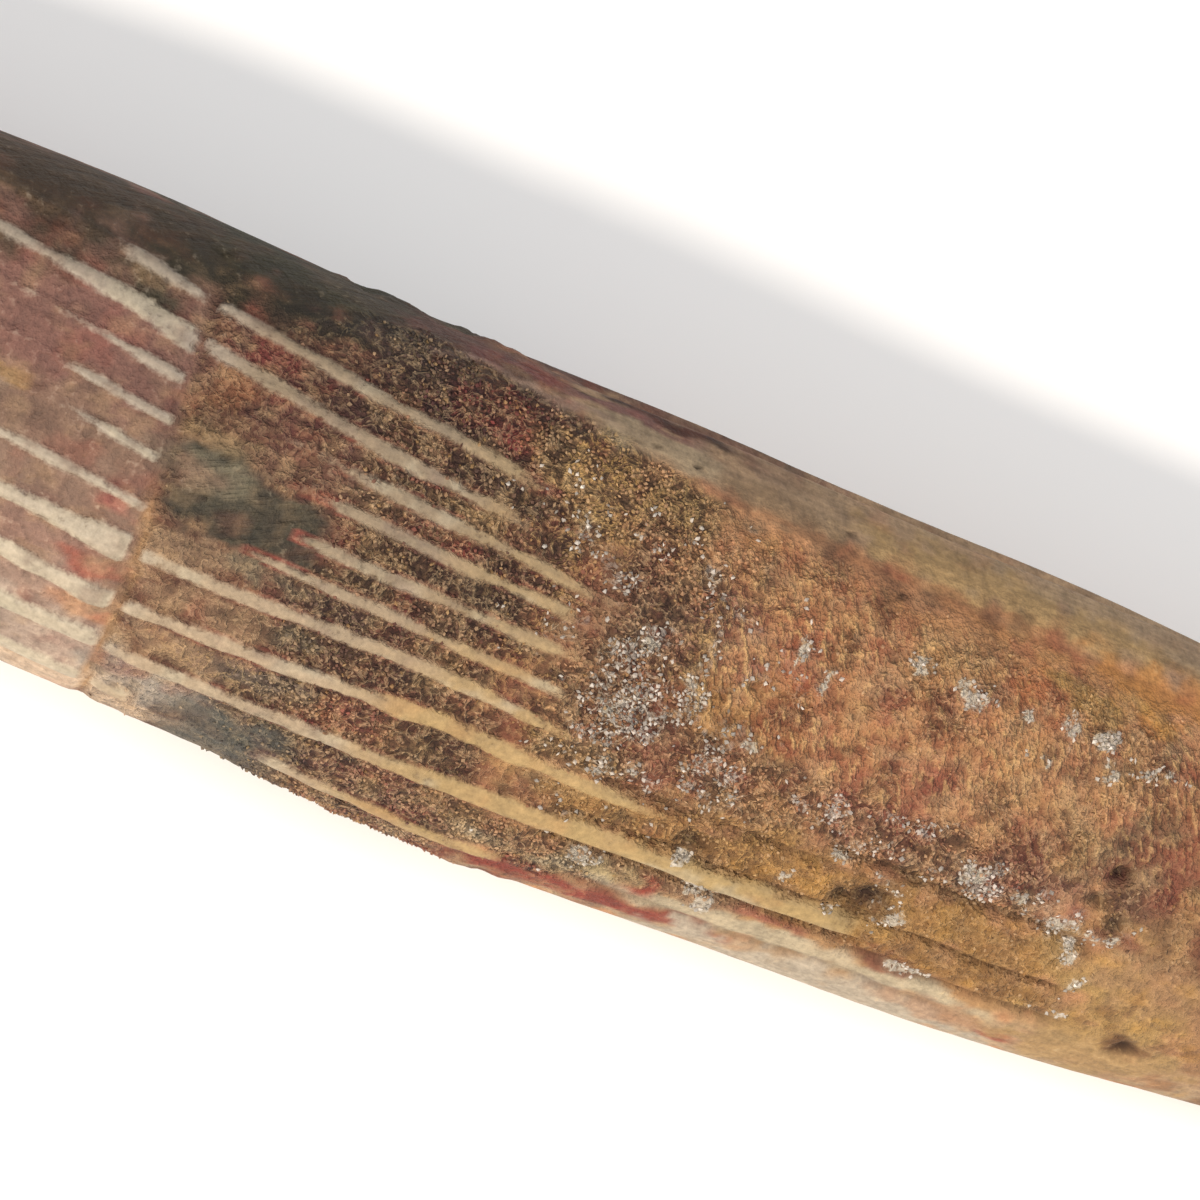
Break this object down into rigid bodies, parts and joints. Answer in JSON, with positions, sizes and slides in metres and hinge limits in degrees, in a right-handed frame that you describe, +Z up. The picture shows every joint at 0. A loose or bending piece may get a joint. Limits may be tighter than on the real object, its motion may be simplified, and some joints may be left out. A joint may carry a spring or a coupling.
{
  "type": "fossil sawfish spine",
  "caption": "Long ribbed fossil fin spine lying on its side: enamelled ribs along the blade, a smooth root and a furrow down the back edge.",
  "frame": {"origin": "middle of the spine's outline, on the surface that it lies on", "axes": "+X along the spine from its worn tip to its broken root, +Y from the keeled front edge to the back edge, +Z up, out of the side that faces up"},
  "size_m": [0.2216, 0.0308, 0.018],
  "materials": {
    "fossil_bone": "matte"
  },
  "bodies": {
    "root": {"spine": "fossil_bone"}
  },
  "joints": []
}
